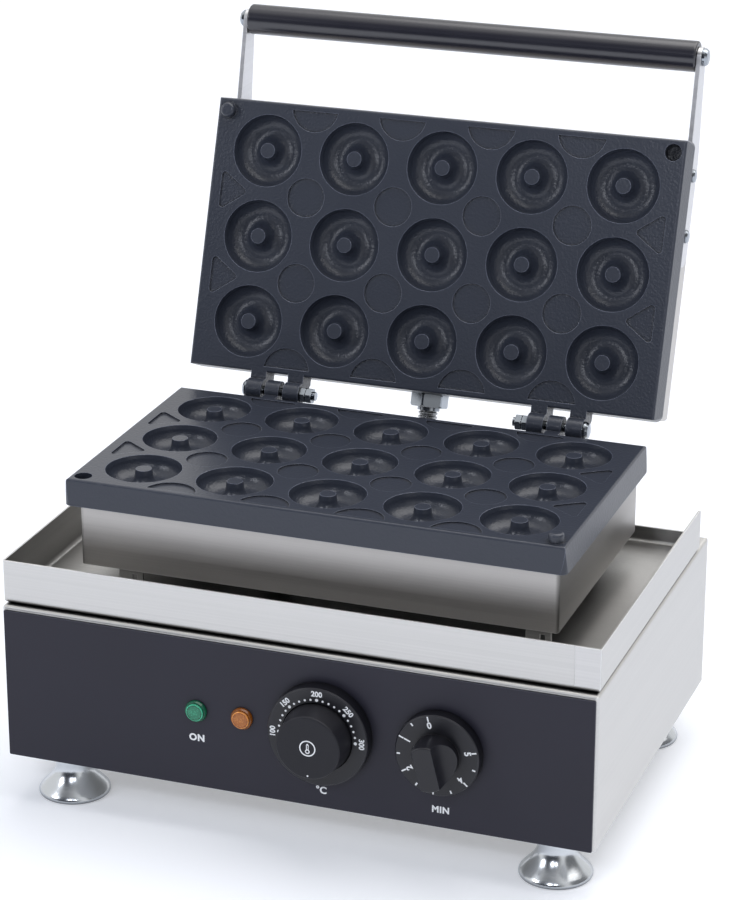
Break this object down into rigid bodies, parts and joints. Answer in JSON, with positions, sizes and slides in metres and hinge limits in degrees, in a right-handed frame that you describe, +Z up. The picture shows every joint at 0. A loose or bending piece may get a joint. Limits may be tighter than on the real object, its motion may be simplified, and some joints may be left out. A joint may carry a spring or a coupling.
{
  "type": "doughnut maker",
  "caption": "Table-top ring doughnut maker: hinged cast mould plates with heaters over a drip tray, on a steel base with a temperature knob, a timer and lamps.",
  "frame": {"origin": "centre of the footprint on the table, midway between the timer knob's front and the rear of the opened lid", "axes": "+X to the right of a person at the controls, +Y to the rear, +Z up"},
  "size_m": [0.4, 0.3849, 0.4645],
  "materials": {
    "stainless": "brushed",
    "coated_plate": "non-stick coated, satin",
    "black_fascia": "satin black",
    "bright_fixings": "polished",
    "black_plastic": "satin",
    "element_sheath": "dull, heat stained",
    "thermostat_case": "matt",
    "timer_case": "zinc plated",
    "copper": "dull",
    "porcelain": "glazed",
    "green_lens": "clear, tinted",
    "amber_lens": "clear, tinted",
    "conduit_metal": "galvanised, ribbed"
  },
  "bodies": {
    "base": {"base_housing": "stainless", "base_floor": "stainless", "floor_screws": "bright_fixings", "control_fascia": "black_fascia", "drip_tray": "stainless", "foot_front_left": "bright_fixings", "foot_front_right": "bright_fixings", "foot_rear_left": "bright_fixings", "foot_rear_right": "bright_fixings", "foot_nuts": "bright_fixings", "housing_brackets": "stainless", "wiring_tube": "stainless", "lower_housing": "stainless", "lower_plate": "coated_plate", "lower_element": "element_sheath", "lower_clamps": "stainless", "lower_clamp_screws": "bright_fixings", "thermostat_body": "thermostat_case", "thermostat_capillary": "copper", "timer_body": "timer_case", "terminal_block": "porcelain", "green_lamp_lens": "green_lens", "amber_lamp_lens": "amber_lens", "lamp_rims": "black_plastic", "cord_gland": "black_plastic", "cord_gland_nut": "black_plastic", "conduit_base_nut": "bright_fixings", "flexible_conduit": "conduit_metal", "temperature_scale": "black_plastic"},
    "lid": {"upper_plate": "coated_plate", "upper_housing": "stainless", "upper_element": "element_sheath", "upper_clamps": "stainless", "upper_clamp_screws": "bright_fixings", "hinge_bolts": "bright_fixings", "hinge_nuts": "bright_fixings", "handle_arm_left": "stainless", "handle_arm_right": "stainless", "arm_screws": "bright_fixings", "handle_grip": "black_plastic", "handle_bolts": "bright_fixings", "conduit_lid_nut": "bright_fixings"},
    "temperature_knob": {"temperature_knob": "black_plastic", "thermostat_shaft": "bright_fixings"},
    "timer_knob": {"timer_knob": "black_plastic", "timer_shaft": "bright_fixings"}
  },
  "joints": [
    {"name": "lid_hinge", "type": "hinge", "parent": "base", "child": "lid", "pos_m": [0, 0.06983, 0.2213], "axis": [1, 0, 0], "range_deg": [0, 109.6], "deforming": ["flexible_conduit"]},
    {"name": "temperature_turn", "type": "hinge", "parent": "base", "child": "temperature_knob", "pos_m": [0.0213, -0.17247, 0.0885], "axis": [0, 1, 0], "range_deg": [0, 270]},
    {"name": "timer_turn", "type": "hinge", "parent": "base", "child": "timer_knob", "pos_m": [0.1, -0.17247, 0.0885], "axis": [0, 1, 0], "range_deg": [0, 270], "stiffness_Nm_per_rad": 0.01}
  ]
}
